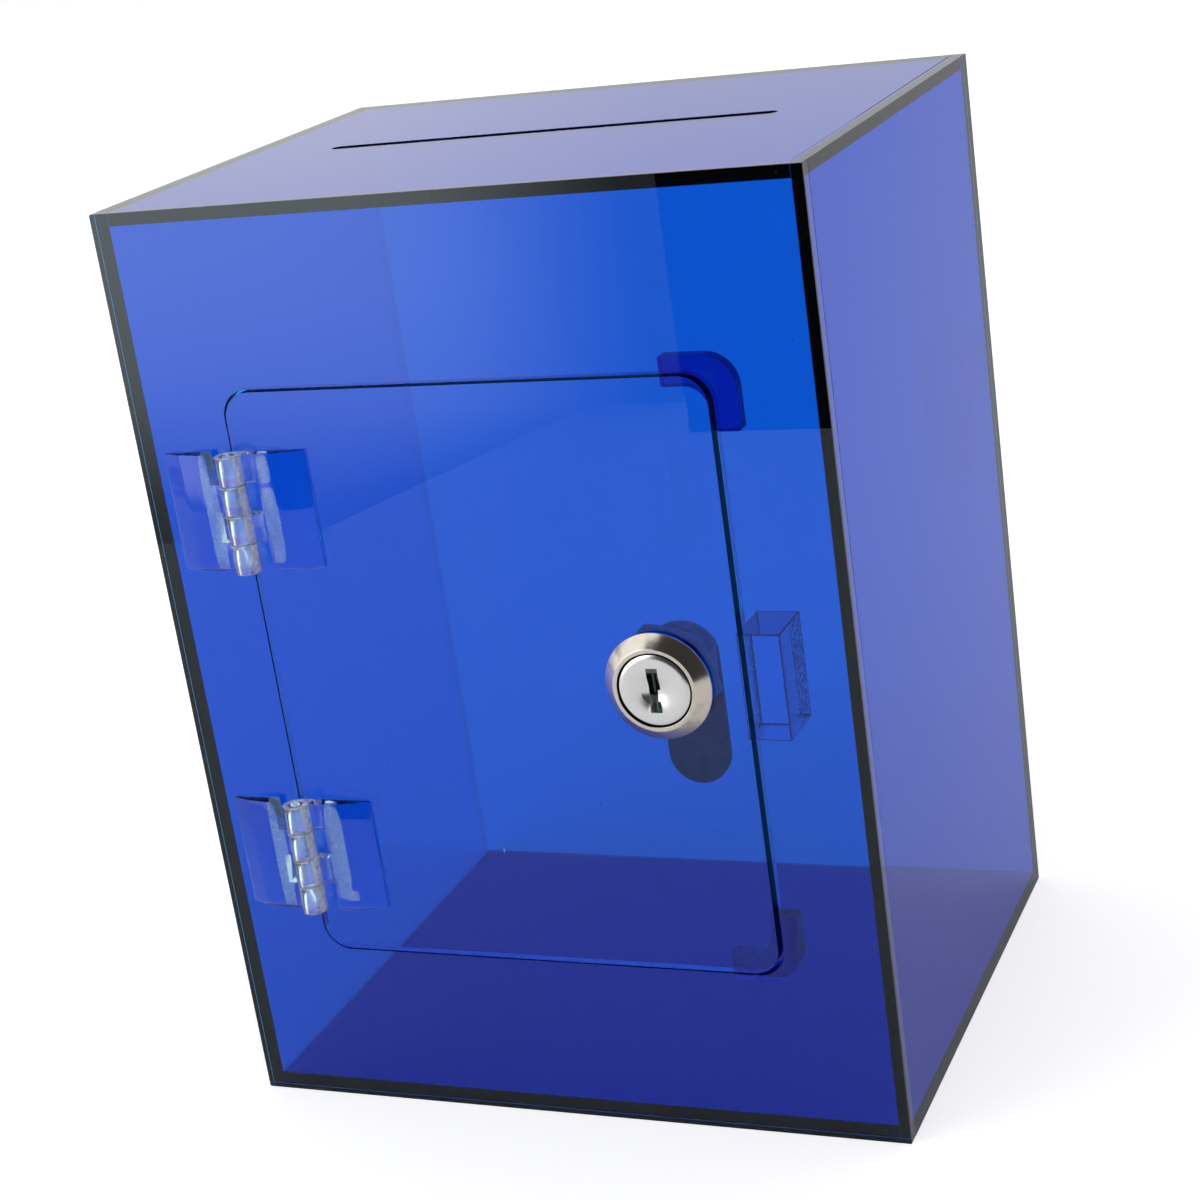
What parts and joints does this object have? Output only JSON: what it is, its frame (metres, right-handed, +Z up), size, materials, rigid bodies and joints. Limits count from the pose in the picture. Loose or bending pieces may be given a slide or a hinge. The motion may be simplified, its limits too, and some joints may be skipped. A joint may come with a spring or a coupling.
{
  "type": "lockable acrylic money box",
  "caption": "Upright transparent blue money box with a coin slot in the top and a hinged front door with a cam lock.",
  "frame": {"origin": "centre of the underside, on the surface that the box stands on", "axes": "+Z up; -Y is the front, with the door; +X is to the right as seen from the front"},
  "size_m": [0.15, 0.1259, 0.2],
  "materials": {
    "blue_acrylic": "transparent blue cast acrylic, polished",
    "clear_acrylic": "clear moulded acrylic",
    "nickel": "satin nickel plate",
    "plug_silver": "bright plated die casting",
    "dark_steel": "dark plated pressed steel",
    "zinc": "zinc plated steel",
    "wafer_steel": "stamped steel",
    "spring_steel": "bright spring wire"
  },
  "bodies": {
    "box": {"front_panel": "blue_acrylic", "back_panel": "blue_acrylic", "left_panel": "blue_acrylic", "right_panel": "blue_acrylic", "top_panel": "blue_acrylic", "bottom_panel": "blue_acrylic", "upper_corner_stop": "blue_acrylic", "lower_corner_stop": "blue_acrylic", "catch_block": "clear_acrylic", "upper_hinge_frame_leaf": "clear_acrylic", "upper_hinge_pin": "clear_acrylic", "lower_hinge_frame_leaf": "clear_acrylic", "lower_hinge_pin": "clear_acrylic"},
    "door": {"door_panel": "blue_acrylic", "upper_hinge_door_leaf": "clear_acrylic", "lower_hinge_door_leaf": "clear_acrylic", "lock_body": "nickel", "lock_nut": "nickel"},
    "lock_core": {"lock_plug": "plug_silver", "lock_cam": "dark_steel", "stop_washer": "zinc", "screw_washer": "zinc", "cam_screw": "zinc", "wafer_spring_1": "spring_steel", "wafer_spring_2": "spring_steel", "wafer_spring_3": "spring_steel", "wafer_spring_4": "spring_steel", "wafer_spring_5": "spring_steel"},
    "first_wafer": {"wafer_1": "wafer_steel"},
    "second_wafer": {"wafer_2": "wafer_steel"},
    "third_wafer": {"wafer_3": "wafer_steel"},
    "fourth_wafer": {"wafer_4": "wafer_steel"},
    "fifth_wafer": {"wafer_5": "wafer_steel"}
  },
  "joints": [
    {"name": "door_swing", "type": "hinge", "parent": "box", "child": "door", "pos_m": [-0.052, -0.0631, 0.1], "axis": [0, 0, -1], "range_deg": [0, 180]},
    {"name": "lock_turn", "type": "hinge", "parent": "door", "child": "lock_core", "pos_m": [0.034, -0.06, 0.1], "axis": [0, -1, 0], "range_deg": [0, 90]},
    {"name": "wafer_1_lift", "type": "slide", "parent": "lock_core", "child": "first_wafer", "axis": [0, 0, 1], "range_m": [0, 0.0008]},
    {"name": "wafer_2_lift", "type": "slide", "parent": "lock_core", "child": "second_wafer", "axis": [0, 0, 1], "range_m": [0, 0.0008]},
    {"name": "wafer_3_lift", "type": "slide", "parent": "lock_core", "child": "third_wafer", "axis": [0, 0, 1], "range_m": [0, 0.0008]},
    {"name": "wafer_4_lift", "type": "slide", "parent": "lock_core", "child": "fourth_wafer", "axis": [0, 0, 1], "range_m": [0, 0.0008]},
    {"name": "wafer_5_lift", "type": "slide", "parent": "lock_core", "child": "fifth_wafer", "axis": [0, 0, 1], "range_m": [0, 0.0008]}
  ],
  "couplings": [
    {"joint": "wafer_2_lift", "follows": "wafer_1_lift", "ratio": 1},
    {"joint": "wafer_3_lift", "follows": "wafer_1_lift", "ratio": 1},
    {"joint": "wafer_4_lift", "follows": "wafer_1_lift", "ratio": 1},
    {"joint": "wafer_5_lift", "follows": "wafer_1_lift", "ratio": 1}
  ]
}
